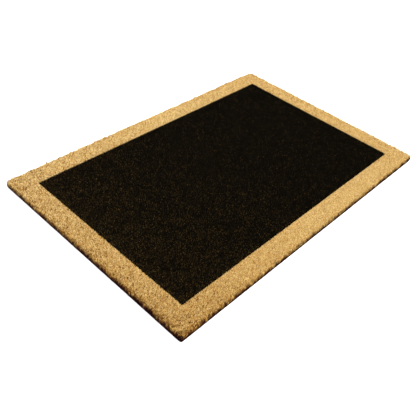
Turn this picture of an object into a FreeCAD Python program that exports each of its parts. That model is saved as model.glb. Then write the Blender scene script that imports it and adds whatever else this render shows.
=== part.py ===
import FreeCAD, Part
import os
import Sketcher

# Door mat of chopped coir fibres set upright in a PVC backing sheet.
#
# Frame, in millimetres: the origin is on the floor under the middle of the mat,
# +X runs along its long side, +Y along its short side, and +Z up through the pile.
#
# The pile is one field of sheared fibres in two colours: a natural border, and a
# black rectangle inside it. Each colour is one closed solid of the space that its
# fibres fill, and both stand on the backing sheet.

SIZES = {
    "mat_length": 900.0,
    "mat_width": 600.0,
    "mat_thickness": 17.0,
    # The solid PVC under the fibres.
    "backing_thickness": 2.5,
    # Plan radius where the cutting die turns each corner of the mat.
    "corner_radius": 5.0,
    # Natural pile between the mat's edge and the black rectangle.
    "border_width": 54.0,
    # The pile's top outer edge is worn round, because its fibres lean outwards there.
    "crown_radius": 5.0,
}

# How near two coordinates have to be to count as the same place.
SAME_PLACE = 0.001

doc = FreeCAD.newDocument("coir_door_mat")

sheet = doc.addObject("Spreadsheet::Sheet", "Sizes")
for row, (alias, value) in enumerate(SIZES.items(), start=1):
    sheet.set(f"A{row}", alias)
    sheet.set(f"B{row}", str(value))
    sheet.setAlias(f"B{row}", alias)
doc.recompute()


def add_body(name, height_above_floor):
    """A body labelled with its node's name, lifted to the height that it stands at."""
    body = doc.addObject("PartDesign::Body", name)
    body.Label = name
    body.setExpression("Placement.Base.z", height_above_floor)
    return body


def add_floor_sketch(body, name):
    """An empty sketch on the body's own XY plane."""
    sketch = body.newObject("Sketcher::SketchObject", name)
    plane = next(item for item in body.Origin.OriginFeatures if item.Role == "XY_Plane")
    sketch.AttachmentSupport = [(plane, "")]
    sketch.MapMode = "FlatFace"
    return sketch


def draw_centred_rectangle(sketch, name, length, width):
    """A rectangle about the sketch's origin, its two sizes bound to expressions."""
    first_line = sketch.GeometryCount
    # Any rough size with the corners in order will do: the constraints then set the real one.
    half_x = 100.0 + 10.0 * first_line
    half_y = 0.5 * half_x
    corners = [
        FreeCAD.Vector(-half_x, -half_y, 0.0),
        FreeCAD.Vector(half_x, -half_y, 0.0),
        FreeCAD.Vector(half_x, half_y, 0.0),
        FreeCAD.Vector(-half_x, half_y, 0.0),
    ]
    bottom, right, top, left = range(first_line, first_line + 4)
    start, end = 1, 2
    for index, corner in enumerate(corners):
        next_corner = corners[(index + 1) % len(corners)]
        sketch.addGeometry(Part.LineSegment(corner, next_corner), False)
    for line, next_line in ((bottom, right), (right, top), (top, left), (left, bottom)):
        sketch.addConstraint(Sketcher.Constraint("Coincident", line, end, next_line, start))
    for line in (bottom, top):
        sketch.addConstraint(Sketcher.Constraint("Horizontal", line))
    for line in (right, left):
        sketch.addConstraint(Sketcher.Constraint("Vertical", line))
    origin, origin_point = -1, 1
    opposite_corners = (bottom, start, top, start)
    sketch.addConstraint(Sketcher.Constraint("Symmetric", *opposite_corners, origin, origin_point))
    for size_name, line, axis, size in (
        (name + "Length", bottom, "DistanceX", length),
        (name + "Width", right, "DistanceY", width),
    ):
        rough_size = 2.0 * (half_x if axis == "DistanceX" else half_y)
        number = sketch.addConstraint(Sketcher.Constraint(axis, line, start, line, end, rough_size))
        sketch.renameConstraint(number, size_name)
        sketch.setExpression("Constraints." + size_name, size)


def add_pad(body, sketch, name, height):
    """The sketch raised to a height, which is bound to an expression."""
    pad = body.newObject("PartDesign::Pad", name)
    pad.Profile = sketch
    pad.setExpression("Length", height)
    sketch.Visibility = False
    doc.recompute()
    return pad


def add_fillet(body, base, name, is_wanted, radius):
    """Rounds the edges of the base for which is_wanted is true."""
    edges = [
        f"Edge{number}"
        for number, edge in enumerate(base.Shape.Edges, start=1)
        if is_wanted(edge)
    ]
    fillet = body.newObject("PartDesign::Fillet", name)
    fillet.Base = (base, edges)
    fillet.setExpression("Radius", radius)
    doc.recompute()
    return fillet


def stands_at_mat_corner(edge):
    """True for an upright edge at one of the mat's four outer corners."""
    box = edge.BoundBox
    is_upright = box.XLength < SAME_PLACE and box.YLength < SAME_PLACE
    reaches_mat_end = abs(abs(box.Center.x) - sheet.mat_length / 2.0) < SAME_PLACE
    reaches_mat_side = abs(abs(box.Center.y) - sheet.mat_width / 2.0) < SAME_PLACE
    return is_upright and reaches_mat_end and reaches_mat_side


def runs_round_pile_top(edge):
    """True for an edge of the pile's top face that isn't beside the centre pile."""
    pile_height = sheet.mat_thickness - sheet.backing_thickness
    half_centre_length = sheet.mat_length / 2.0 - sheet.border_width
    half_centre_width = sheet.mat_width / 2.0 - sheet.border_width
    return all(
        abs(vertex.Z - pile_height) < SAME_PLACE
        and (
            abs(vertex.X) > half_centre_length + SAME_PLACE
            or abs(vertex.Y) > half_centre_width + SAME_PLACE
        )
        for vertex in edge.Vertexes
    )


def build_backing_sheet():
    """Flat PVC sheet the size of the mat, with die-cut corners."""
    body = add_body("pvc_backing_sheet", "0 mm")
    outline = add_floor_sketch(body, "BackingOutline")
    draw_centred_rectangle(outline, "Mat", "Sizes.mat_length", "Sizes.mat_width")
    slab = add_pad(body, outline, "BackingSlab", "Sizes.backing_thickness")
    add_fillet(body, slab, "BackingCorners", stands_at_mat_corner, "Sizes.corner_radius")
    return body


def build_border_pile():
    """Ring of natural pile round the black rectangle, with a rounded top outer edge."""
    body = add_body("coir_border_pile", "Sizes.backing_thickness")
    outline = add_floor_sketch(body, "BorderOutline")
    draw_centred_rectangle(outline, "Mat", "Sizes.mat_length", "Sizes.mat_width")
    draw_centred_rectangle(
        outline,
        "Centre",
        "Sizes.mat_length - 2 * Sizes.border_width",
        "Sizes.mat_width - 2 * Sizes.border_width",
    )
    ring = add_pad(body, outline, "BorderRing", "Sizes.mat_thickness - Sizes.backing_thickness")
    corners = add_fillet(body, ring, "BorderCorners", stands_at_mat_corner, "Sizes.corner_radius")
    add_fillet(body, corners, "BorderCrown", runs_round_pile_top, "Sizes.crown_radius")
    return body


def build_centre_pile():
    """Block of black pile that fills the border's opening, with sharp colour edges."""
    body = add_body("coir_centre_pile", "Sizes.backing_thickness")
    outline = add_floor_sketch(body, "CentreOutline")
    draw_centred_rectangle(
        outline,
        "Centre",
        "Sizes.mat_length - 2 * Sizes.border_width",
        "Sizes.mat_width - 2 * Sizes.border_width",
    )
    add_pad(body, outline, "CentreBlock", "Sizes.mat_thickness - Sizes.backing_thickness")
    return body


def check_document(bodies):
    """Stops before anything is written if an object failed or a solid isn't whole."""
    for item in doc.Objects:
        if "Invalid" in item.State or "Error" in item.State:
            raise RuntimeError(f"{item.Name} did not recompute: {item.State}")
    for body in bodies:
        shape = body.Shape
        if shape.isNull() or not shape.isValid() or len(shape.Solids) != 1:
            raise RuntimeError(f"{body.Label} is not one valid solid")


bodies = [build_backing_sheet(), build_border_pile(), build_centre_pile()]
doc.recompute()
check_document(bodies)

os.makedirs("parts", exist_ok=True)
for body in bodies:
    body.Shape.exportStep(f"parts/{body.Label}.step")
    box = body.Shape.BoundBox
    print(
        f"{body.Label}: {box.XLength:.2f} x {box.YLength:.2f} x {box.ZLength:.2f} mm,"
        f" bottom at {box.ZMin:.2f}, volume {body.Shape.Volume / 1000.0:.1f} cm3"
    )
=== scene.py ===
"""Looks of the coir door mat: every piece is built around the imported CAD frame, in metres.

The pile is real mesh fibres. Each fibre is a thin closed tube of three sides with a cut tip. The
fibres stand on a jittered grid over the mat, lean, gather in small clumps and are sheared level.
Below the tips, where single fibres can't be told apart, a bumpy bed stands for the packed fibres.
"""

import math
from dataclasses import dataclass

import bpy
import numpy as np
from mathutils import Matrix, Vector


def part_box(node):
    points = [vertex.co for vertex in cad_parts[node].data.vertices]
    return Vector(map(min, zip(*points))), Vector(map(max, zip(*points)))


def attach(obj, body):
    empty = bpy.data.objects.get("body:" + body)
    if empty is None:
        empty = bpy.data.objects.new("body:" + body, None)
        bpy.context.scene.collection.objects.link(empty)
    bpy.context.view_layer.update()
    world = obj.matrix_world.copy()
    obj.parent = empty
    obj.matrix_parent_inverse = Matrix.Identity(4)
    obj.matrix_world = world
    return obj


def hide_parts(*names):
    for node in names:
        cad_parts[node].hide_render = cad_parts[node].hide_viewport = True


MM = 0.001
SAME_PLACE = 1e-6  # how near two coordinates count as one
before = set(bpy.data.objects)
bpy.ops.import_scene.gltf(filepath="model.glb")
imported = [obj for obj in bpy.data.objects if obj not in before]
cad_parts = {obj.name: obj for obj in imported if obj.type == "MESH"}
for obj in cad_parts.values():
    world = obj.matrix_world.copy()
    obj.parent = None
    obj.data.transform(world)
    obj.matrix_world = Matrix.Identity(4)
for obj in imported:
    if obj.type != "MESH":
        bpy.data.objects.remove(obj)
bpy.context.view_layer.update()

# ---------------------------------------------------------------- places, from the frame
backing_low, backing_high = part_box("pvc_backing_sheet")
border_low, border_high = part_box("coir_border_pile")
centre_low, centre_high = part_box("coir_centre_pile")
HALF_LENGTH = backing_high.x
HALF_WIDTH = backing_high.y
FLOOR = backing_low.z
BACKING_TOP = backing_high.z
PILE_TOP = border_high.z
CENTRE_HALF_LENGTH = centre_high.x
CENTRE_HALF_WIDTH = centre_high.y

# ---------------------------------------------------------------- sizes of the pile
CORNER_RADIUS = 5.0 * MM
CROWN_RADIUS = 5.0 * MM  # of the pile's top outer edge
WORN_CORNER_RADIUS = 12.0 * MM  # in plan, of the pile's tips
CROWN_CORNER_RADIUS = 8.0 * MM  # in plan, of the line where the top begins to round over
CLUMP_SPACING = 1.8 * MM
BUNCH_SPACING = 3.2 * MM  # several clumps that share a shade
CLUMP_PULL = 0.35  # how far a tip moves towards the middle of its clump
TUFT_SPACING = 5.0 * MM  # of the larger unevenness along the mat's edge
BED_CELL = 3.2 * MM
BED_INSET = 2.4 * MM  # from the mat's edge to the foot of the bed
BED_TOP = 12.0 * MM
BED_SHOULDER = 10.0 * MM  # the bed reaches its full height this far from the mat's edge
BACKING_CELL = 3.6 * MM
FIBRE_SIDES = 3
ROOT_WIDTH = 1.15  # a fibre's radius at its root, over its own radius
TAPER = 0.35  # how much of that is lost by the tip
DEPTH_SPREAD = 5.0 * MM  # painted shade: the fibres' colour darkens over this depth below the sheared top
STAIN_AND_SHADE_SPREAD = 13.5 * MM  # the side goes from straw to black over this height, partly PVC stain and partly painted shade

EDGE_REACH = 6.0 * MM  # the tips are ragged, and lean out, this near to the mat's edge
CALM_CORNER = 16.0 * MM  # and are less ragged again this near to a corner
LINE_REACH = 4.0 * MM  # the tips are more even this near to the line between the colours
LINE_CALM = 0.7  # how much of the unevenness goes on that line
SHORT_SHARE = 0.22  # fibres that end below the sheared top
LONG_SHARE = 0.015  # fibres that stand above it
ROOT_COVER = 0.6 * MM  # how deep the roots stand in the bed
ROOT_IN_BACKING = 0.3 * MM
LEAN_OUT = 0.10  # of the outermost fibres, over their length

# Shades run from 0, the darkest natural or the brownest black fibre, to 1.
NATURAL_SHADE = 0.62
BLACK_SHADE = 0.66
BARE_SHARE = 0.030  # of the centre's fibres, which the black colour missed
BARE_SHARE_AT_LEFT = 0.084  # and this much more at its left end
# Of a clump's or a bunch's own random values, which run from -1 to 1.
BROWN_CLUMP_LIMIT = -0.97
BROWN_BUNCH_LIMIT = -0.965
PALE_CLUMP_LIMIT = 0.90

STRAY_COUNT = 70
BROWN_TUFT_COUNT = 16
BROWN_TUFT_X = -338.0 * MM


@dataclass
class Zone:
    """How the fibres grow between two distances from the mat's edge."""

    nearest: float
    furthest: float
    per_square_mm: float
    rings: int  # of points along each fibre
    lean: float  # spread of the fibres' lean, over their length
    radius: float
    reaches_backing: bool = False


RIM = Zone(-1.0 * MM, 3.0 * MM, 1.6, 4, 0.10, 0.24 * MM, True)
SHOULDER = Zone(3.0 * MM, 9.0 * MM, 1.1, 3, 0.18, 0.25 * MM)
BORDER_FIELD = Zone(9.0 * MM, HALF_LENGTH, 1.0, 2, 0.19, 0.27 * MM)
# The centre's fibres stand closer beside the border, which keeps the colours' line sharp.
BORDER_WIDTH = HALF_LENGTH - CENTRE_HALF_LENGTH
MARGIN_END = BORDER_WIDTH + 6.0 * MM
CENTRE_MARGIN = Zone(BORDER_WIDTH, MARGIN_END, 1.2, 2, 0.12, 0.27 * MM)
CENTRE_FIELD = Zone(MARGIN_END, HALF_LENGTH, 0.5, 2, 0.19, 0.33 * MM)

rng = np.random.default_rng(417)


# ---------------------------------------------------------------- fields over the mat
def smoothstep(value):
    """0 up to 0, 1 from 1 on, and a smooth curve between."""
    value = np.clip(value, 0.0, 1.0)
    return value * value * (3.0 - 2.0 * value)


def make_unevenness(size):
    """A smooth random field from -1 to 1 whose features are about that size."""
    across = int(2.4 * HALF_LENGTH / size) + 3
    deep = int(2.4 * HALF_WIDTH / size) + 3
    lattice = rng.uniform(-1.0, 1.0, (across, deep))

    def field(x, y):
        column = np.clip((x + 1.2 * HALF_LENGTH) / size, 0.0, across - 1.001)
        row = np.clip((y + 1.2 * HALF_WIDTH) / size, 0.0, deep - 1.001)
        i = column.astype(int)
        j = row.astype(int)
        u = smoothstep(column - i)
        v = smoothstep(row - j)
        near = lattice[i, j] * (1.0 - u) + lattice[i + 1, j] * u
        far = lattice[i, j + 1] * (1.0 - u) + lattice[i + 1, j + 1] * u
        return near * (1.0 - v) + far * v

    return field


class Clumps:
    """Irregular cells, one for each small clump of fibres, with random values of their own."""

    MARGIN = 3  # spare cells past each side of the mat

    def __init__(self, spacing):
        self.spacing = spacing
        self.across = int(2.0 * HALF_LENGTH / spacing) + 2 * self.MARGIN + 2
        self.deep = int(2.0 * HALF_WIDTH / spacing) + 2 * self.MARGIN + 2
        self.jitter = rng.uniform(0.0, 1.0, (self.across, self.deep, 2))
        self.values = rng.uniform(-1.0, 1.0, (self.across, self.deep, 5))

    def find(self, x, y):
        """The middle of the clump that each point belongs to, and that clump's values."""
        column = np.floor((x + HALF_LENGTH) / self.spacing).astype(int) + self.MARGIN
        row = np.floor((y + HALF_WIDTH) / self.spacing).astype(int) + self.MARGIN
        column = np.clip(column, 1, self.across - 2)
        row = np.clip(row, 1, self.deep - 2)
        best = np.full(len(x), np.inf)
        middle = np.zeros((len(x), 2))
        values = np.zeros((len(x), 5))
        for across in (-1, 0, 1):
            for deep in (-1, 0, 1):
                i = column + across
                j = row + deep
                spot_x = (i - self.MARGIN + self.jitter[i, j, 0]) * self.spacing - HALF_LENGTH
                spot_y = (j - self.MARGIN + self.jitter[i, j, 1]) * self.spacing - HALF_WIDTH
                distance = np.hypot(spot_x - x, spot_y - y)
                nearer = distance < best
                best[nearer] = distance[nearer]
                middle[nearer, 0] = spot_x[nearer]
                middle[nearer, 1] = spot_y[nearer]
                values[nearer] = self.values[i, j][nearer]
        return middle, values


def edge_distance(x, y, radius=CORNER_RADIUS):
    """How far inside an outline with rounded corners a point is; negative outside it."""
    over_x = np.abs(x) - (HALF_LENGTH - radius)
    over_y = np.abs(y) - (HALF_WIDTH - radius)
    beyond = np.hypot(np.maximum(over_x, 0.0), np.maximum(over_y, 0.0))
    within = np.minimum(np.maximum(over_x, over_y), 0.0)
    return radius - beyond - within


def outward(x, y):
    """Unit direction in plan from a point towards the nearest part of the mat's outline."""
    over_x = np.abs(x) - (HALF_LENGTH - CORNER_RADIUS)
    over_y = np.abs(y) - (HALF_WIDTH - CORNER_RADIUS)
    at_corner = (over_x > 0.0) & (over_y > 0.0)
    length = np.maximum(np.hypot(over_x, over_y), 1e-9)
    out_x = np.where(at_corner, over_x / length, (over_x >= over_y).astype(float))
    out_y = np.where(at_corner, over_y / length, (over_x < over_y).astype(float))
    return np.stack([np.sign(x) * out_x, np.sign(y) * out_y], axis=1)


def is_centre(x, y):
    """True over the black rectangle."""
    return (np.abs(x) < CENTRE_HALF_LENGTH) & (np.abs(y) < CENTRE_HALF_WIDTH)


clumps = Clumps(CLUMP_SPACING)
bunches = Clumps(BUNCH_SPACING)
tufts = Clumps(TUFT_SPACING)
level = make_unevenness(60.0 * MM)
sway = [make_unevenness(10.0 * MM), make_unevenness(10.0 * MM)]
bed_bumps = make_unevenness(4.0 * MM)


def sheared_height(x, y):
    """Height of the sheared top, rounded over towards the mat's edge."""
    inset = np.clip(CROWN_RADIUS - edge_distance(x, y, CROWN_CORNER_RADIUS), 0.0, CROWN_RADIUS)
    drop = CROWN_RADIUS - np.sqrt(CROWN_RADIUS**2 - inset**2)
    return PILE_TOP - drop + 0.15 * MM * level(x, y)


def bed_height(x, y):
    """Height of the packed fibres that the single ones stand out of."""
    rise = smoothstep((edge_distance(x, y) - BED_INSET) / (BED_SHOULDER - BED_INSET))
    return BACKING_TOP + 0.4 * MM + (BED_TOP - BACKING_TOP) * rise


# ---------------------------------------------------------------- fibres
@dataclass
class Fibres:
    """One row for each fibre."""

    root: np.ndarray
    tip: np.ndarray
    bow: np.ndarray  # how far the middle stands out of the straight line
    radius: np.ndarray
    shade: np.ndarray
    top: np.ndarray  # height of the sheared top
    stain_and_shade: np.ndarray  # height at which the side begins to darken, with PVC stain and painted shade
    rings: int

    def pick(self, chosen):
        arrays = (self.root, self.tip, self.bow, self.radius, self.shade, self.top, self.stain_and_shade)
        return Fibres(*(array[chosen] for array in arrays), self.rings)


def jittered_grid(per_square_mm):
    """Points spread over the mat and a little past it, one in each cell of a grid."""
    cell = MM / math.sqrt(per_square_mm)
    columns = int(2.02 * HALF_LENGTH / cell) + 1
    rows = int(2.02 * HALF_WIDTH / cell) + 1
    i, j = np.meshgrid(np.arange(columns), np.arange(rows), indexing="ij")
    x = (i + rng.random(i.shape)) * cell - columns * cell / 2.0
    y = (j + rng.random(j.shape)) * cell - rows * cell / 2.0
    return x.ravel(), y.ravel()


@dataclass
class Spots:
    """Where the fibres of one zone grow, and what surrounds each of them."""

    in_centre: bool
    x: np.ndarray
    y: np.ndarray
    distance: np.ndarray  # from the mat's edge
    out: np.ndarray  # the direction of that edge
    near_edge: np.ndarray  # 1 on the edge, and 0 past EDGE_REACH
    loose: np.ndarray  # the same, but 0 at the corners
    even: np.ndarray  # share of the unevenness that is kept, least on the colours' line
    clump_middle: np.ndarray
    clump: np.ndarray
    bunch: np.ndarray
    tuft: np.ndarray


def choose_spots(zone, in_centre):
    """A spot for each fibre of one zone, of the border or of the centre."""
    x, y = jittered_grid(zone.per_square_mm)
    distance = edge_distance(x, y)
    kept = (distance >= zone.nearest) & (distance < zone.furthest)
    kept &= is_centre(x, y) == in_centre
    kept &= edge_distance(x, y, WORN_CORNER_RADIUS) > zone.nearest - 1.0 * MM
    x = x[kept]
    y = y[kept]
    distance = distance[kept]
    clump_middle, clump = clumps.find(x, y)
    near_edge = smoothstep(1.0 - distance / EDGE_REACH)
    from_corner = np.hypot(HALF_LENGTH - np.abs(x), HALF_WIDTH - np.abs(y))
    from_line = np.maximum(np.abs(x) - CENTRE_HALF_LENGTH, np.abs(y) - CENTRE_HALF_WIDTH)
    return Spots(
        in_centre=in_centre,
        x=x,
        y=y,
        distance=distance,
        out=outward(x, y),
        near_edge=near_edge,
        loose=near_edge * smoothstep(from_corner / CALM_CORNER),
        even=1.0 - LINE_CALM * smoothstep(1.0 - np.abs(from_line) / LINE_REACH),
        clump_middle=clump_middle,
        clump=clump,
        bunch=bunches.find(x, y)[1],
        tuft=tufts.find(x, y)[1],
    )


def place_tips(spots):
    """The fibres' tips, and the height of the sheared top at each of their spots."""
    count = len(spots.x)
    clump = spots.clump
    tuft = spots.tuft
    # Level overall, a little uneven from clump to clump, with some short and a few long.
    top = sheared_height(spots.x, spots.y)
    ragged = (0.8 + 2.4 * tuft[:, 0] + 0.8 * clump[:, 1]) * MM * spots.loose
    rise = 0.35 * MM * clump[:, 0] + ragged
    rise += rng.normal(0.0, 0.16 * MM, count)
    kind = rng.random(count)
    rise -= np.where(kind < SHORT_SHARE, rng.uniform(0.3, 2.2, count) * MM, 0.0)
    rise += np.where(kind > 1.0 - LONG_SHARE, rng.uniform(0.2, 0.9, count) * MM, 0.0)
    z = top + rise * spots.even

    # The tips draw together in each clump, which leaves dark gaps between clumps.
    pull = CLUMP_PULL * rng.uniform(0.3, 1.0, count)
    x = spots.x + (spots.clump_middle[:, 0] - spots.x) * pull
    y = spots.y + (spots.clump_middle[:, 1] - spots.y) * pull
    crossed = is_centre(x, y) != spots.in_centre
    x = np.where(crossed, spots.x, x)
    y = np.where(crossed, spots.y, y)
    pushed_out = (0.6 + 1.8 * tuft[:, 1] + 0.6 * clump[:, 1]) * MM * spots.loose
    x += spots.out[:, 0] * pushed_out
    y += spots.out[:, 1] * pushed_out
    return np.stack([x, y, z], axis=1), top


def place_roots(zone, spots, tip):
    """The fibres' roots: on the backing at the mat's edge, and in the bed elsewhere."""
    count = len(spots.x)
    z = bed_height(tip[:, 0], tip[:, 1]) - ROOT_COVER
    if zone.reaches_backing:
        z = np.full(count, BACKING_TOP - ROOT_IN_BACKING)
    length = tip[:, 2] - z
    leans = []
    for axis in (0, 1):
        lean = rng.normal(0.0, zone.lean, count) + 0.02 * sway[axis](spots.x, spots.y)
        lean = (lean + 0.06 * spots.clump[:, 2 + axis]) * spots.even
        leans.append(lean + spots.out[:, axis] * (LEAN_OUT * spots.near_edge))
    x = tip[:, 0] - leans[0] * length
    y = tip[:, 1] - leans[1] * length
    # No root stands nearer to the backing's edge than this.
    room = edge_distance(x, y)
    short = np.maximum(0.5 * MM + 0.5 * MM * rng.random(count) - room, 0.0)
    out = outward(x, y)
    return np.stack([x - out[:, 0] * short, y - out[:, 1] * short, z], axis=1)


def make_bows(spots, length):
    """How far the middle of each fibre bows to the side, mostly outwards at the mat's edge."""
    count = len(spots.x)
    bow = np.zeros((count, 3))
    bow[:, :2] = rng.normal(0.0, 0.035, (count, 2)) * length[:, None]
    bow[:, :2] += spots.out * (0.03 * length * spots.near_edge)[:, None]
    return bow


def centre_shades(spots):
    """Black, with uncoloured fibres that gather in some of the clumps and bunches."""
    count = len(spots.x)
    in_clump = np.where(spots.clump[:, 1] > 0.6, 2.7, 0.2)
    in_bunch = np.where(spots.bunch[:, 1] > 0.5, 0.7, 0.13)
    bare = uncoloured_share(spots.x, spots.y) * (in_clump + in_bunch)
    spread = 0.08 + 0.7 * bare
    shade = BLACK_SHADE - 1.3 * bare + rng.normal(0.0, 1.0, count) * spread
    return np.where(rng.random(count) < bare, rng.uniform(0.0, 0.3, count), shade)


def border_shades(spots):
    """Straw, different in each clump; browner ones are random, and gather at the left end and the
    edge as painted shade.
    """
    count = len(spots.x)
    clump = spots.clump
    bunch = spots.bunch
    inside = np.maximum(spots.distance, 0.0)
    to_left = (0.5 - 0.5 * spots.x / HALF_LENGTH) ** 3
    to_right = np.clip(spots.x / HALF_LENGTH, 0.0, 1.0)
    to_back = smoothstep(0.5 + spots.y / HALF_WIDTH)
    from_front_corner = np.hypot(spots.x + HALF_LENGTH, spots.y + HALF_WIDTH)
    to_front_corner = np.exp(-from_front_corner / (80.0 * MM))
    at_edge = np.exp(-inside / (7.0 * MM)) * (1.0 - 0.85 * to_back)
    near_side = np.exp(-inside / (22.0 * MM))

    # Painted shade: the mat is a little darker overall towards its right end and its back, and
    # slightly towards its left end.
    shade = NATURAL_SHADE - 0.02 * to_left - 0.12 * to_right
    shade -= 0.06 * to_back * (1.0 - 0.8 * to_right)
    shade += rng.normal(0.0, 0.10, count)
    shade += (0.13 + 0.18 * to_left) * clump[:, 4]
    shade += (0.10 - 0.04 * to_left + 0.07 * to_back) * bunch[:, 4]

    # Some clumps are brown, and some whole bunches. They are more common towards the left end and
    # on the sides near the front left corner, as painted shade, on top of the random brown ones.
    limit = BROWN_CLUMP_LIMIT + 0.20 * to_left + 0.5 * to_front_corner * near_side
    browner = (0.20 + 0.24 * to_left) * rng.uniform(0.7, 1.1, count)
    shade -= (clump[:, 2] < limit) * browner
    by_end_or_back = np.maximum(to_left, to_back * (1.0 - to_right))
    is_brown = bunch[:, 2] < BROWN_BUNCH_LIMIT + 0.07 * by_end_or_back
    limit = BROWN_BUNCH_LIMIT + 0.07 * to_left + 0.3 * to_front_corner * near_side
    is_brown |= bunch[:, 2] < limit
    shade -= is_brown * (0.16 + 0.20 * to_left) * rng.uniform(0.7, 1.1, count)
    shade += 0.14 * (clump[:, 3] > PALE_CLUMP_LIMIT) * rng.uniform(0.4, 1.2, count)
    # Painted shade: the top near the edge is darker, most at the left end and the front.
    return shade - 0.20 * to_left * at_edge


def grow(zone, in_centre):
    """The fibres of one zone, of the border or of the centre."""
    spots = choose_spots(zone, in_centre)
    tip, top = place_tips(spots)
    root = place_roots(zone, spots, tip)
    bow = make_bows(spots, tip[:, 2] - root[:, 2])
    radius = zone.radius * np.exp(rng.normal(0.0, 0.28, len(spots.x)))
    shade = centre_shades(spots) if in_centre else border_shades(spots)
    return Fibres(
        root=root,
        tip=tip,
        bow=bow,
        radius=radius,
        shade=np.clip(shade, 0.0, 1.0),
        top=top,
        stain_and_shade=stain_and_shade_reach(tip[:, 0], tip[:, 1], spots.tuft[:, 2], spots.clump[:, 0]),
        rings=zone.rings,
    )


def uncoloured_share(x, y):
    """Share of the centre's fibres that the black colour missed, most towards the front left."""
    from_left = x + CENTRE_HALF_LENGTH
    from_front = y + CENTRE_HALF_WIDTH
    at_left = np.exp(-from_left / (260.0 * MM)) * (1.0 + np.exp(-from_front / (220.0 * MM)))
    return BARE_SHARE + BARE_SHARE_AT_LEFT * at_left


def stain_and_shade_reach(x, y, tuft_value, clump_value):
    """Height at which the pile's side begins to darken towards its roots: partly PVC stain, partly
    painted shade.
    """
    is_left = outward(x, y)[:, 0] < -0.7
    from_left = np.clip(x / HALF_LENGTH + 1.0, 0.0, 2.0)
    from_front = np.clip(y / HALF_WIDTH + 1.0, 0.0, 2.0)
    # In millimetres. It is highest, and most blotchy, at the front left corner, and higher along
    # the left side, away from the key light, as painted shade.
    reach = np.where(is_left, 22.4 - 1.0 * from_front, 18.8 + 1.3 * from_left)
    reach += 3.0 * np.exp(-(from_left + 0.67 * from_front) / 0.16)
    blotchy = 2.2 + 4.2 * np.exp(-1.3 * (from_left + from_front))
    reach += blotchy * tuft_value + 1.2 * clump_value
    # Fibres further inside the mat are darkened only lower down; near the edge this paints shade
    # on the crown where the top rounds over.
    return reach * MM - 1.2 * np.maximum(edge_distance(x, y), 0.0)


def stray_fibres():
    """Loose long fibres that hang over the edge of the pile."""
    count = STRAY_COUNT
    along = rng.uniform(0.0, 4.0 * (HALF_LENGTH + HALF_WIDTH), count)
    x = np.zeros(count)
    y = np.zeros(count)
    corners = ((-1, -1), (1, -1), (1, 1), (-1, 1))
    start = 0.0
    for index, corner in enumerate(corners):
        following = corners[(index + 1) % 4]
        side = 2.0 * (HALF_LENGTH if corner[1] == following[1] else HALF_WIDTH)
        here = (along >= start) & (along < start + side)
        share = (along[here] - start) / side
        x[here] = HALF_LENGTH * (corner[0] + (following[0] - corner[0]) * share)
        y[here] = HALF_WIDTH * (corner[1] + (following[1] - corner[1]) * share)
        start += side
    out = outward(x, y)
    x -= out[:, 0] * rng.uniform(1.0, 3.0, count) * MM
    y -= out[:, 1] * rng.uniform(1.0, 3.0, count) * MM
    root_z = sheared_height(x, y) - rng.uniform(1.0, 6.0, count) * MM
    reach = rng.uniform(1.5, 4.5, count) * MM
    drift = rng.normal(0.0, 1.6 * MM, (count, 2))
    tip = np.zeros((count, 3))
    tip[:, :2] = np.stack([x, y], axis=1) + out * reach[:, None] + drift
    tip[:, 2] = root_z + rng.uniform(0.5, 3.5, count) * MM
    return Fibres(
        root=np.stack([x, y, root_z], axis=1),
        tip=tip,
        bow=rng.normal(0.0, 0.5 * MM, (count, 3)),
        radius=rng.uniform(0.10, 0.20, count) * MM,
        shade=np.clip(rng.normal(0.35, 0.25, count), 0.0, 1.0),
        top=tip[:, 2],
        stain_and_shade=np.zeros(count),
        rings=5,
    )


def brown_tuft():
    """The one long brown tuft that stands up at the back edge, towards its left end."""
    count = BROWN_TUFT_COUNT
    root = np.zeros((count, 3))
    root[:, 0] = BROWN_TUFT_X + rng.normal(0.0, 0.9 * MM, count)
    root[:, 1] = HALF_WIDTH - rng.uniform(0.8, 3.0, count) * MM
    root[:, 2] = PILE_TOP - rng.uniform(4.0, 6.0, count) * MM
    tip = root + rng.normal(0.0, 0.7 * MM, (count, 3))
    tip[:, 1] += 1.0 * MM
    tip[:, 2] = PILE_TOP + rng.uniform(1.5, 4.6, count) * MM
    return Fibres(
        root=root,
        tip=tip,
        bow=rng.normal(0.0, 0.3 * MM, (count, 3)),
        radius=rng.uniform(0.22, 0.34, count) * MM,
        shade=rng.uniform(0.0, 0.2, count),
        top=tip[:, 2],
        stain_and_shade=np.zeros(count),
        rings=4,
    )


# ---------------------------------------------------------------- meshes and pieces
def mesh_from_arrays(name, points, corners, sizes):
    """A mesh from its points, the point of each face corner, and each face's corner count."""
    mesh = bpy.data.meshes.new(name)
    mesh.vertices.add(len(points))
    mesh.vertices.foreach_set("co", points.astype(np.float32).ravel())
    mesh.loops.add(len(corners))
    mesh.loops.foreach_set("vertex_index", corners.astype(np.int32))
    mesh.polygons.add(len(sizes))
    starts = np.concatenate([[0], np.cumsum(sizes)[:-1]])
    mesh.polygons.foreach_set("loop_start", starts.astype(np.int32))
    mesh.update(calc_edges=True)
    mesh.polygons.foreach_set("use_smooth", np.ones(len(sizes), bool))
    return mesh


def add_value(mesh, name, values):
    """A number for each point, which the materials read by that name."""
    attribute = mesh.attributes.new(name, "FLOAT", "POINT")
    attribute.data.foreach_set("value", values.astype(np.float32).ravel())


def add_piece(name, mesh, material, slot, nodes):
    """The mesh as a piece of the mat that stands for those CAD nodes."""
    piece = bpy.data.objects.new(name, mesh)
    bpy.context.scene.collection.objects.link(piece)
    mesh.materials.append(material)
    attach(piece, "root")
    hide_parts(*nodes)
    return piece


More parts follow.
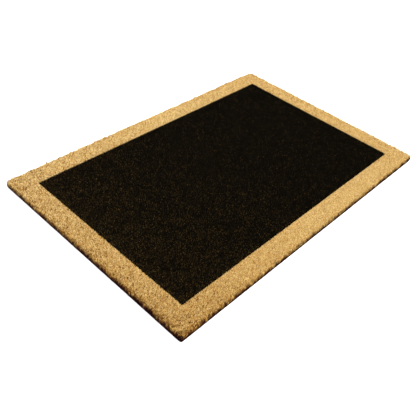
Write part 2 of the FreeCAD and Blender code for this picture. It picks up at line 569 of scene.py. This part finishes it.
def fibre_tubes(fibres):
    """Thin tapered closed tubes with flat ends: points, face corners, corner counts and values."""
    count = len(fibres.root)
    rings = fibres.rings
    along = np.linspace(0.0, 1.0, rings)
    run = (fibres.tip - fibres.root)[:, None, :] * along[None, :, None]
    arc = fibres.bow[:, None, :] * (4.0 * along * (1.0 - along))[None, :, None]
    middle = fibres.root[:, None, :] + run + arc
    turn = rng.uniform(0.0, 2.0 * math.pi, count)
    angle = turn[:, None] + np.arange(FIBRE_SIDES) * (2.0 * math.pi / FIBRE_SIDES)
    around = np.stack([np.cos(angle), np.sin(angle), np.zeros_like(angle)], axis=2)
    radius = fibres.radius[:, None] * (ROOT_WIDTH - TAPER * along)[None, :]
    points = middle[:, :, None, :] + radius[:, :, None, None] * around[:, None, :, :]

    first = (np.arange(count) * rings * FIBRE_SIDES)[:, None, None]
    ring = (np.arange(rings - 1) * FIBRE_SIDES)[None, :, None]
    side = np.arange(FIBRE_SIDES)[None, None, :]
    next_side = (side + 1) % FIBRE_SIDES
    low = first + ring
    walls = np.stack(
        [low + side, low + next_side, low + FIBRE_SIDES + next_side, low + FIBRE_SIDES + side],
        axis=3,
    )
    tip_ends = first[:, :, 0] + (rings - 1) * FIBRE_SIDES + np.arange(FIBRE_SIDES)[None, :]
    root_ends = first[:, :, 0] + np.arange(FIBRE_SIDES)[None, ::-1]
    corners = np.concatenate([walls.ravel(), tip_ends.ravel(), root_ends.ravel()])
    wall_count = count * (rings - 1) * FIBRE_SIDES
    sizes = np.concatenate([np.full(wall_count, 4), np.full(2 * count, FIBRE_SIDES)])
    per_fibre = rings * FIBRE_SIDES
    height = points[..., 2].reshape(count, per_fibre)
    values = {
        "shade": np.repeat(fibres.shade, per_fibre),
        "depth": ((fibres.top[:, None] - height) / DEPTH_SPREAD).ravel(),
        "stain_and_shade": ((fibres.stain_and_shade[:, None] - height) / STAIN_AND_SHADE_SPREAD).ravel(),
        "number": np.repeat(np.arange(count), per_fibre),
        "across": np.tile(np.linspace(0.2, 0.8, FIBRE_SIDES), count * rings),
        "up": np.tile(np.repeat(np.linspace(0.1, 0.9, rings), FIBRE_SIDES), count),
    }
    return points.reshape(-1, 3), corners, sizes, values


def fibre_mesh(name, groups):
    """One mesh of one or more groups of fibres."""
    made = [fibre_tubes(group) for group in groups]
    point_counts = [len(points) for points, _, _, _ in made]
    first_points = np.cumsum([0, *point_counts[:-1]])
    points = np.concatenate([points for points, _, _, _ in made])
    corners = np.concatenate([part[1] + first for part, first in zip(made, first_points)])
    sizes = np.concatenate([sizes for _, _, sizes, _ in made])
    mesh = mesh_from_arrays(name, points, corners, sizes)
    for value in ("shade", "depth", "stain_and_shade"):
        add_value(mesh, value, np.concatenate([part[3][value] for part in made]))

    # Each fibre has a cell of its own in the UV map.
    fibre_counts = [len(group.root) for group in groups]
    first_fibres = np.cumsum([0, *fibre_counts[:-1]])
    number = np.concatenate([part[3]["number"] + first for part, first in zip(made, first_fibres)])
    across = np.concatenate([part[3]["across"] for part in made])
    up = np.concatenate([part[3]["up"] for part in made])
    columns = math.ceil(math.sqrt(2.0 * sum(fibre_counts)))
    rows = math.ceil(sum(fibre_counts) / columns)
    u = (number % columns + across) / columns
    v = (number // columns + up) / rows
    layer = mesh.uv_layers.new(name="OFBake")
    spots = np.stack([u, v], axis=1)[corners]
    layer.data.foreach_set("uv", spots.astype(np.float32).ravel())
    return mesh


def grid_faces(shape):
    """The four corners of every cell of a grid of numbered points."""
    number = np.arange(shape[0] * shape[1]).reshape(shape)
    corners = [number[:-1, :-1], number[1:, :-1], number[1:, 1:], number[:-1, 1:]]
    return np.stack(corners, axis=2)


def rim_of_grid(shape):
    """True for the grid's outermost points."""
    rim = np.zeros(shape, bool)
    rim[[0, -1], :] = True
    rim[:, [0, -1]] = True
    return rim


def drawn_in(x, y, amount):
    """The grid's points moved inwards, away from the nearest part of the mat's outline."""
    out = outward(x.ravel(), y.ravel()).reshape(*x.shape, 2)
    return x - out[..., 0] * amount, y - out[..., 1] * amount


# ---------------------------------------------------------------- the beds under the fibres
def bed_lines(half, centre_half):
    """Grid lines across the mat, with one exactly on each side of the centre rectangle."""
    outer = half - BED_INSET
    border = np.linspace(-outer, -centre_half, round((outer - centre_half) / BED_CELL) + 1)
    middle = np.linspace(-centre_half, centre_half, round(2.0 * centre_half / BED_CELL) + 1)
    return np.concatenate([border, middle[1:-1], -border[::-1]])


def bed_meshes():
    """The border's and the centre's beds, cut from one bumpy surface, down to the backing."""
    lines_x = bed_lines(HALF_LENGTH, CENTRE_HALF_LENGTH)
    lines_y = bed_lines(HALF_WIDTH, CENTRE_HALF_WIDTH)
    x, y = np.meshgrid(lines_x, lines_y, indexing="ij")
    within_length = np.abs(x) < CENTRE_HALF_LENGTH + SAME_PLACE
    within_width = np.abs(y) < CENTRE_HALF_WIDTH + SAME_PLACE
    on_centre_line = np.isclose(np.abs(x), CENTRE_HALF_LENGTH) & within_width
    on_centre_line |= np.isclose(np.abs(y), CENTRE_HALF_WIDTH) & within_length
    loose = ~(on_centre_line | rim_of_grid(x.shape))
    x = x + np.where(loose, rng.uniform(-0.3, 0.3, x.shape) * BED_CELL, 0.0)
    y = y + np.where(loose, rng.uniform(-0.3, 0.3, y.shape) * BED_CELL, 0.0)
    # Points past the rounded outline of the bed's foot are drawn in onto it.
    x, y = drawn_in(x, y, np.maximum(BED_INSET - edge_distance(x, y), 0.0))
    z = bed_height(x, y) + rng.normal(0.0, 0.35 * MM, x.shape) + 0.5 * MM * bed_bumps(x, y)
    z = np.maximum(z, BACKING_TOP + 0.2 * MM)
    top_points = np.stack([x, y, z], axis=2).reshape(-1, 3)
    foot_points = top_points.copy()
    foot_points[:, 2] = BACKING_TOP - 0.2 * MM
    points = np.concatenate([top_points, foot_points])
    cells = grid_faces(x.shape)
    cell_x = (lines_x[:-1] + lines_x[1:])[:, None] / 2.0
    cell_y = (lines_y[:-1] + lines_y[1:])[None, :] / 2.0
    in_centre = is_centre(cell_x, cell_y)
    meshes = []
    for name, wanted in (("border_fibre_bed", ~in_centre), ("centre_fibre_bed", in_centre)):
        closed = closed_block(cells[wanted], x.size)
        used, corners = np.unique(closed.ravel(), return_inverse=True)
        meshes.append(mesh_from_arrays(name, points[used], corners, np.full(len(closed), 4)))
    return meshes


def closed_block(faces, foot_offset):
    """The top faces, their copies at the foot, and walls along every edge with one top face."""
    ends = np.roll(faces, -1, axis=1)
    edges = np.stack([faces.ravel(), ends.ravel()], axis=1)
    key = np.sort(edges, axis=1)
    _, index, uses = np.unique(key, axis=0, return_inverse=True, return_counts=True)
    open_edges = edges[uses[index.ravel()] == 1]
    walls = np.stack(
        [
            open_edges[:, 1],
            open_edges[:, 0],
            open_edges[:, 0] + foot_offset,
            open_edges[:, 1] + foot_offset,
        ],
        axis=1,
    )
    foot = faces[:, ::-1] + foot_offset
    return np.concatenate([faces, foot, walls])


# ---------------------------------------------------------------- the PVC backing
def backing_lines(half):
    """Grid lines across the backing, with one just inside each edge to keep the cut crisp."""
    lip = 0.8 * MM
    lines = np.linspace(-half, half, round(2.0 * half / BACKING_CELL) + 1)
    return np.sort(np.concatenate([lines, [-half + lip, half - lip]]))


def backing_mesh():
    """A closed, gently uneven sheet with die-cut edges, its PVC crept up the outer fibres."""
    cut_spread = 0.12 * MM
    creep_height = 0.55 * MM
    creep_reach = 3.0 * MM
    hollows = 0.09 * MM  # under the sheet, between the places where it rests
    lines_x = backing_lines(HALF_LENGTH)
    lines_y = backing_lines(HALF_WIDTH)
    x, y = np.meshgrid(lines_x, lines_y, indexing="ij")
    rim = rim_of_grid(x.shape)
    cut_wander = cut_spread * rng.normal(0.0, 1.0, x.shape)
    past_outline = np.maximum(-edge_distance(x, y), 0.0)
    x, y = drawn_in(x, y, past_outline + np.where(rim, np.abs(cut_wander), 0.0))
    creep = np.where(rim, 0.0, np.exp(-edge_distance(x, y) / creep_reach))
    crept = np.abs(rng.normal(0.0, 1.0, x.shape)) * creep_height * creep
    thickness = BACKING_TOP - FLOOR
    top = np.where(rim, BACKING_TOP - 0.15 * thickness, BACKING_TOP + crept)
    hollow = hollows * (1.0 + level(x * 1.1, y * 1.1))
    bottom = FLOOR + np.where(rim, 0.12 * MM, hollow)
    points = np.concatenate(
        [np.stack([x, y, height], axis=2).reshape(-1, 3) for height in (top, bottom)]
    )
    closed = closed_block(grid_faces(x.shape).reshape(-1, 4), x.size)
    return mesh_from_arrays("pvc_backing", points, closed.ravel(), np.full(len(closed), 4))


# ---------------------------------------------------------------- materials
def new_material(name):
    """A node material: itself, its nodes, its links and its shader."""
    material = bpy.data.materials.new(name)
    material.use_nodes = True
    tree = material.node_tree
    return material, tree.nodes, tree.links, tree.nodes["Principled BSDF"]


def add_node(nodes, kind, **inputs):
    """A shader node with those inputs set; double underscores stand for spaces."""
    node = nodes.new(kind)
    for name, value in inputs.items():
        node.inputs[name.replace("__", " ")].default_value = value
    return node


def set_ramp(node, stops):
    """Gives a colour ramp those positions and colours."""
    elements = node.color_ramp.elements
    while len(elements) < len(stops):
        elements.new(0.5)
    for element, (position, colour) in zip(elements, stops):
        element.position = position
        element.color = (*colour, 1.0)


def add_mix(nodes, links, factor, first, second, blend="MIX"):
    """A colour mix; factor, first and second are sockets or plain values."""
    mix = nodes.new("ShaderNodeMix")
    mix.data_type = "RGBA"
    mix.blend_type = blend
    # The node also has number and vector sockets; these are its factor and its two colours.
    factor_socket, first_socket, second_socket = (mix.inputs[index] for index in (0, 6, 7))
    given = ((factor_socket, factor), (first_socket, first), (second_socket, second))
    for socket, value in given:
        if isinstance(value, bpy.types.NodeSocket):
            links.new(value, socket)
        else:
            socket.default_value = value
    return mix.outputs[2]


def map_range(nodes, links, value, low, high, to_low, to_high):
    """The value's run from low to high turned into a run from to_low to to_high."""
    given = {"From__Min": low, "From__Max": high, "To__Min": to_low, "To__Max": to_high}
    node = add_node(nodes, "ShaderNodeMapRange", **given)
    links.new(value, node.inputs["Value"])
    return node.outputs["Result"]


def read_value(nodes, name):
    """The number that add_value gave each point."""
    node = nodes.new("ShaderNodeAttribute")
    node.attribute_name = name
    return node.outputs["Fac"]


PVC_COLOUR = (0.0095, 0.0012, 0.0024)
PVC_STOPS = (
    (0.3, (0.008, 0.0016, 0.0024)),
    (0.6, (0.012, 0.0026, 0.0036)),
    (0.8, (0.018, 0.006, 0.007)),
)
FRONT_LEFT_TINT = (1.0, 0.90, 0.70)
FRONT_LEFT_REACH = 0.75
DIRT_AND_SHADE_TINT = (0.96, 0.92, 0.78)
STAIN_AND_SHADE_BROWN = (0.060, 0.0155, 0.0065)
# The stain value at which each of the side's colours begins and is complete; the side's darkening
# is partly PVC stain and dirt, partly painted shade.
DIRT_AND_SHADE_SPAN = (-0.5, 0.25)
BROWN_SPAN = (0.0, 0.85)
PVC_SPAN = (0.72, 1.1)

# Painted shade deep in the pile: what the fibres darken to, and the depths, over DEPTH_SPREAD,
# that this runs between.
NATURAL_DEEP_SHADE = (0.085, 0.034, 0.009)
NATURAL_DEPTHS = (0.15, 1.1)
BLACK_DEEP_SHADE = (0.0036, 0.0029, 0.0016)
BLACK_DEPTHS = (0.05, 0.38)
NATURAL_GAP_SHADE = (0.020, 0.010, 0.004)
BLACK_GAP_SHADE = (0.0016, 0.0012, 0.0007)

NATURAL_STOPS = (
    (0.00, (0.045, 0.015, 0.005)),
    (0.12, (0.15, 0.058, 0.015)),
    (0.26, (0.36, 0.170, 0.040)),
    (0.45, (0.58, 0.370, 0.118)),
    (0.65, (0.71, 0.515, 0.217)),
    (0.85, (0.83, 0.68, 0.35)),
    (1.00, (0.88, 0.77, 0.49)),
)
BLACK_STOPS = (
    (0.00, (0.130, 0.074, 0.021)),
    (0.14, (0.072, 0.045, 0.017)),
    (0.30, (0.0100, 0.0080, 0.0042)),
    (0.50, (0.0045, 0.0039, 0.0023)),
    (1.00, (0.0034, 0.0029, 0.0017)),
)
BLACK_BED_STOPS = (
    (0.00, (0.0080, 0.0045, 0.0020)),
    (0.15, (0.0040, 0.0030, 0.0016)),
    (1.00, (0.0026, 0.0021, 0.0013)),
)


def fibre_material(name, stops, deep_shade_tint, depths, specular, front_left_tint=None):
    """Coir fibre: its own shade, mottled along its length, with painted shade deep down, and PVC
    stain and painted shade low on its side.
    """
    material, nodes, links, shader = new_material(name)
    place = nodes.new("ShaderNodeNewGeometry").outputs["Position"]
    mottle = add_node(nodes, "ShaderNodeTexNoise", Scale=900.0, Detail=3.0, Roughness=0.6)
    links.new(place, mottle.inputs["Vector"])
    wander = map_range(nodes, links, mottle.outputs["Fac"], 0.3, 0.7, -0.07, 0.07)
    total = add_node(nodes, "ShaderNodeMath")
    total.operation = "ADD"
    links.new(read_value(nodes, "shade"), total.inputs[0])
    links.new(wander, total.inputs[1])
    ramp = nodes.new("ShaderNodeValToRGB")
    set_ramp(ramp, stops)
    links.new(total.outputs[0], ramp.inputs["Fac"])
    tinted = ramp.outputs["Color"]
    if front_left_tint:
        # The colour is tinted yellower most at the front left corner, and not at all at the right
        # end.
        from_corner = nodes.new("ShaderNodeVectorMath")
        from_corner.operation = "DISTANCE"
        from_corner.inputs[1].default_value = (-HALF_LENGTH, -HALF_WIDTH, PILE_TOP)
        links.new(place, from_corner.inputs[0])
        front_left_share = map_range(nodes, links, from_corner.outputs["Value"], 0.0, FRONT_LEFT_REACH, 1.0, 0.0)
        tinted = add_mix(nodes, links, front_left_share, tinted, (*front_left_tint, 1.0), "MULTIPLY")
    # Painted shade: the colour darkens with depth below the sheared top, for the shade deep in the
    # pile.
    depth = map_range(nodes, links, read_value(nodes, "depth"), *depths, 0.0, 0.85)
    deep = add_mix(nodes, links, depth, tinted, (*deep_shade_tint, 1.0))
    # Low on the side the colour goes through a tint and brown to PVC black: partly PVC stain and
    # dirt, partly painted shade.
    stain_and_shade = read_value(nodes, "stain_and_shade")
    dirt_and_shade_share = map_range(nodes, links, stain_and_shade, *DIRT_AND_SHADE_SPAN, 0.0, 1.0)
    dirt_and_shade_tinted = add_mix(nodes, links, dirt_and_shade_share, deep, (*DIRT_AND_SHADE_TINT, 1.0), "MULTIPLY")
    browned = map_range(nodes, links, stain_and_shade, *BROWN_SPAN, 0.0, 1.0)
    brown = add_mix(nodes, links, browned, dirt_and_shade_tinted, (*STAIN_AND_SHADE_BROWN, 1.0))
    blackened = map_range(nodes, links, stain_and_shade, *PVC_SPAN, 0.0, 1.0)
    colour = add_mix(nodes, links, blackened, brown, (*PVC_COLOUR, 1.0))
    links.new(colour, shader.inputs["Base Color"])

    grain = add_node(nodes, "ShaderNodeTexNoise", Scale=5200.0, Detail=2.0, Roughness=0.55)
    links.new(place, grain.inputs["Vector"])
    rough = map_range(nodes, links, grain.outputs["Fac"], 0.3, 0.7, 0.62, 0.86)
    links.new(rough, shader.inputs["Roughness"])
    bump = add_node(nodes, "ShaderNodeBump", Strength=0.35, Distance=0.00006)
    links.new(grain.outputs["Fac"], bump.inputs["Height"])
    links.new(bump.outputs["Normal"], shader.inputs["Normal"])
    shader.inputs["Specular IOR Level"].default_value = specular
    return material


def bed_material(name, stops, gap_shade_tint, specular):
    """Packed fibres seen end on: small cells of mixed shades, with painted shade in the gaps
    between them.
    """
    material, nodes, links, shader = new_material(name)
    place = nodes.new("ShaderNodeNewGeometry").outputs["Position"]
    cells = add_node(nodes, "ShaderNodeTexVoronoi", Scale=2100.0)
    links.new(place, cells.inputs["Vector"])
    split = nodes.new("ShaderNodeSeparateColor")
    links.new(cells.outputs["Color"], split.inputs["Color"])
    ramp = nodes.new("ShaderNodeValToRGB")
    set_ramp(ramp, stops)
    links.new(split.outputs["Red"], ramp.inputs["Fac"])
    # Painted shade: the gaps between the cells are darkened.
    gap_shade_share = map_range(nodes, links, cells.outputs["Distance"], 0.25, 0.75, 0.0, 0.9)
    dark = add_mix(nodes, links, gap_shade_share, ramp.outputs["Color"], (*gap_shade_tint, 1.0))
    blotch = add_node(nodes, "ShaderNodeTexNoise", Scale=160.0, Detail=3.0)
    links.new(place, blotch.inputs["Vector"])
    blotched = map_range(nodes, links, blotch.outputs["Fac"], 0.35, 0.7, 0.0, 0.6)
    blotch_tint = tuple(2.5 * part for part in gap_shade_tint)
    colour = add_mix(nodes, links, blotched, dark, (*blotch_tint, 1.0))
    links.new(colour, shader.inputs["Base Color"])
    rough = map_range(nodes, links, blotch.outputs["Fac"], 0.3, 0.7, 0.75, 0.95)
    links.new(rough, shader.inputs["Roughness"])
    bump = add_node(nodes, "ShaderNodeBump", Strength=0.9, Distance=0.0004)
    bump.invert = True
    links.new(cells.outputs["Distance"], bump.inputs["Height"])
    links.new(bump.outputs["Normal"], shader.inputs["Normal"])
    shader.inputs["Specular IOR Level"].default_value = specular
    return material


def pvc_material():
    """Matt black PVC: faint mottling, a fine weave pressed into it, and scuffs in its gloss."""
    material, nodes, links, shader = new_material("black_pvc")
    place = nodes.new("ShaderNodeNewGeometry").outputs["Position"]
    mottle = add_node(nodes, "ShaderNodeTexNoise", Scale=70.0, Detail=5.0, Roughness=0.6)
    links.new(place, mottle.inputs["Vector"])
    ramp = nodes.new("ShaderNodeValToRGB")
    set_ramp(ramp, PVC_STOPS)
    links.new(mottle.outputs["Fac"], ramp.inputs["Fac"])
    links.new(ramp.outputs["Color"], shader.inputs["Base Color"])
    rough = map_range(nodes, links, mottle.outputs["Fac"], 0.3, 0.75, 0.5, 0.8)
    links.new(rough, shader.inputs["Roughness"])
    threads = []
    for direction in ("X", "Y"):
        wave = add_node(nodes, "ShaderNodeTexWave", Scale=160.0, Distortion=0.6, Detail=1.0)
        wave.bands_direction = direction
        links.new(place, wave.inputs["Vector"])
        threads.append(wave.outputs["Fac"])
    weave = add_node(nodes, "ShaderNodeMath")
    weave.operation = "MAXIMUM"
    for socket, thread in zip(weave.inputs, threads):
        links.new(thread, socket)
    bump = add_node(nodes, "ShaderNodeBump", Strength=0.5, Distance=0.00015)
    links.new(weave.outputs[0], bump.inputs["Height"])
    links.new(bump.outputs["Normal"], shader.inputs["Normal"])
    shader.inputs["Specular IOR Level"].default_value = 0.02
    return material


def floor_material():
    """Pale matt studio floor."""
    material, _, _, shader = new_material("studio_floor")
    shader.inputs["Base Color"].default_value = (0.90, 0.90, 0.90, 1.0)
    shader.inputs["Roughness"].default_value = 0.9
    shader.inputs["Specular IOR Level"].default_value = 0.0
    return material


# ---------------------------------------------------------------- the mat
def parts_of_border(fibres):
    """A mask of the fibres on each side of the mat, with its two long sides cut in half."""
    x = fibres.tip[:, 0]
    y = fibres.tip[:, 1]
    is_left = x < 0.0
    front = y < -CENTRE_HALF_WIDTH
    back = y > CENTRE_HALF_WIDTH
    beside = ~front & ~back
    return {
        "left": beside & is_left,
        "right": beside & ~is_left,
        "front_left": front & is_left,
        "front_right": front & ~is_left,
        "back_left": back & is_left,
        "back_right": back & ~is_left,
    }


def build_border(material):
    """The natural fibres of the border: its edge, the field inside it, and the stray ones."""
    meshes = []
    rim = grow(RIM, in_centre=False)
    shoulder = grow(SHOULDER, in_centre=False)
    shoulder_parts = parts_of_border(shoulder)
    for part, mask in parts_of_border(rim).items():
        groups = [rim.pick(mask), shoulder.pick(shoulder_parts[part])]
        meshes.append(fibre_mesh("border_edge_fibres_" + part, groups))
    field = grow(BORDER_FIELD, in_centre=False)
    for part, mask in parts_of_border(field).items():
        meshes.append(fibre_mesh("border_fibres_" + part, [field.pick(mask)]))
    meshes.append(fibre_mesh("stray_fibres", [stray_fibres(), brown_tuft()]))
    return [
        add_piece(mesh.name, mesh, material, "natural_coir", ["coir_border_pile"])
        for mesh in meshes
    ]


def is_in_block(fibres, across, deep):
    """A mask of the fibres in one of the centre's three by three blocks."""
    column = np.floor((fibres.tip[:, 0] / CENTRE_HALF_LENGTH + 1.0) * 1.5).clip(0, 2)
    row = np.floor((fibres.tip[:, 1] / CENTRE_HALF_WIDTH + 1.0) * 1.5).clip(0, 2)
    return (column == across) & (row == deep)


def build_centre(material):
    """The black fibres of the centre, in nine blocks."""
    grown = [grow(zone, in_centre=True) for zone in (CENTRE_MARGIN, CENTRE_FIELD)]
    pieces = []
    for across, column_name in enumerate(("left", "middle", "right")):
        for deep, row_name in enumerate(("front", "middle", "back")):
            name = f"centre_fibres_{row_name}_{column_name}"
            groups = [fibres.pick(is_in_block(fibres, across, deep)) for fibres in grown]
            mesh = fibre_mesh(name, [group for group in groups if len(group.root)])
            pieces.append(add_piece(name, mesh, material, "black_coir", ["coir_centre_pile"]))
    return pieces


def build_mat():
    """The backing and the whole pile, built lying flat."""
    natural = fibre_material(
        "natural_coir_fibre", NATURAL_STOPS, NATURAL_DEEP_SHADE, NATURAL_DEPTHS, 0.02, FRONT_LEFT_TINT
    )
    black = fibre_material("black_coir_fibre", BLACK_STOPS, BLACK_DEEP_SHADE, BLACK_DEPTHS, 0.01)
    natural_bed = bed_material("natural_coir_bed", NATURAL_STOPS, NATURAL_GAP_SHADE, 0.02)
    black_bed = bed_material("black_coir_bed", BLACK_BED_STOPS, BLACK_GAP_SHADE, 0.0)
    border_bed, centre_bed = bed_meshes()
    in_border = ("natural_coir", ["coir_border_pile"])
    in_middle = ("black_coir", ["coir_centre_pile"])
    pile = [
        add_piece("border_fibre_bed", border_bed, natural_bed, *in_border),
        add_piece("centre_fibre_bed", centre_bed, black_bed, *in_middle),
        *build_border(natural),
        *build_centre(black),
    ]
    backing = add_piece(
        "pvc_backing", backing_mesh(), pvc_material(), "pvc_backing", ["pvc_backing_sheet"]
    )


# ---------------------------------------------------------------- studio
def build_floor():
    """A wide square floor, a hair below the mat."""
    half = 6.0
    height = FLOOR - 0.1 * MM
    corners = [(x * half, y * half, height) for x, y in ((-1, -1), (1, -1), (1, 1), (-1, 1))]
    mesh = bpy.data.meshes.new("studio_floor")
    mesh.from_pydata(corners, [], [(0, 1, 2, 3)])
    mesh.materials.append(floor_material())
    floor = bpy.data.objects.new("studio_floor", mesh)
    bpy.context.scene.collection.objects.link(floor)


def add_area_light(name, place, target, size, power):
    """A round soft light at that place, aimed at the target."""
    light = bpy.data.lights.new(name, "AREA")
    light.shape = "DISK"
    light.size = size
    light.energy = power
    holder = bpy.data.objects.new(name, light)
    holder.location = place
    aim = Vector(target) - Vector(place)
    holder.rotation_euler = aim.to_track_quat("-Z", "Y").to_euler()
    bpy.context.scene.collection.objects.link(holder)


def build_lights():
    """An even pale room, and a large soft key light beyond the mat's right end."""
    world = bpy.data.worlds.new("studio_room")
    world.use_nodes = True
    background = world.node_tree.nodes["Background"]
    background.inputs["Color"].default_value = (1.0, 1.0, 1.0, 1.0)
    background.inputs["Strength"].default_value = 2.17
    bpy.context.scene.world = world
    add_area_light(
        "key_light", place=(6.6, -4.2, 8.0), target=(0.0, 0.0, 0.0), size=6.0, power=1180.0
    )


def build_camera():
    """The camera, at the photo's viewing angle."""
    azimuth = math.radians(-50.678)
    elevation = math.radians(41.214)
    roll = math.radians(6.862)
    distance = 1.3134
    target = Vector((-0.1362, -0.0688, 0.0))
    back = Vector(
        (
            math.sin(azimuth) * math.cos(elevation),
            -math.cos(azimuth) * math.cos(elevation),
            math.sin(elevation),
        )
    )
    side = Vector((0.0, 0.0, 1.0)).cross(back).normalized()
    up = back.cross(side)
    turned_side = side * math.cos(roll) + up * math.sin(roll)
    turned_up = up * math.cos(roll) - side * math.sin(roll)
    data = bpy.data.cameras.new("camera")
    data.sensor_width = 36.0
    data.lens = 47.33
    data.clip_start = 0.01
    camera = bpy.data.objects.new("camera", data)
    columns = Matrix((turned_side, turned_up, back)).transposed()
    camera.matrix_world = Matrix.Translation(target + back * distance) @ columns.to_4x4()
    bpy.context.scene.collection.objects.link(camera)
    bpy.context.scene.camera = camera


build_camera()
build_floor()
build_lights()
build_mat()
bpy.context.scene.view_settings.view_transform = "Standard"
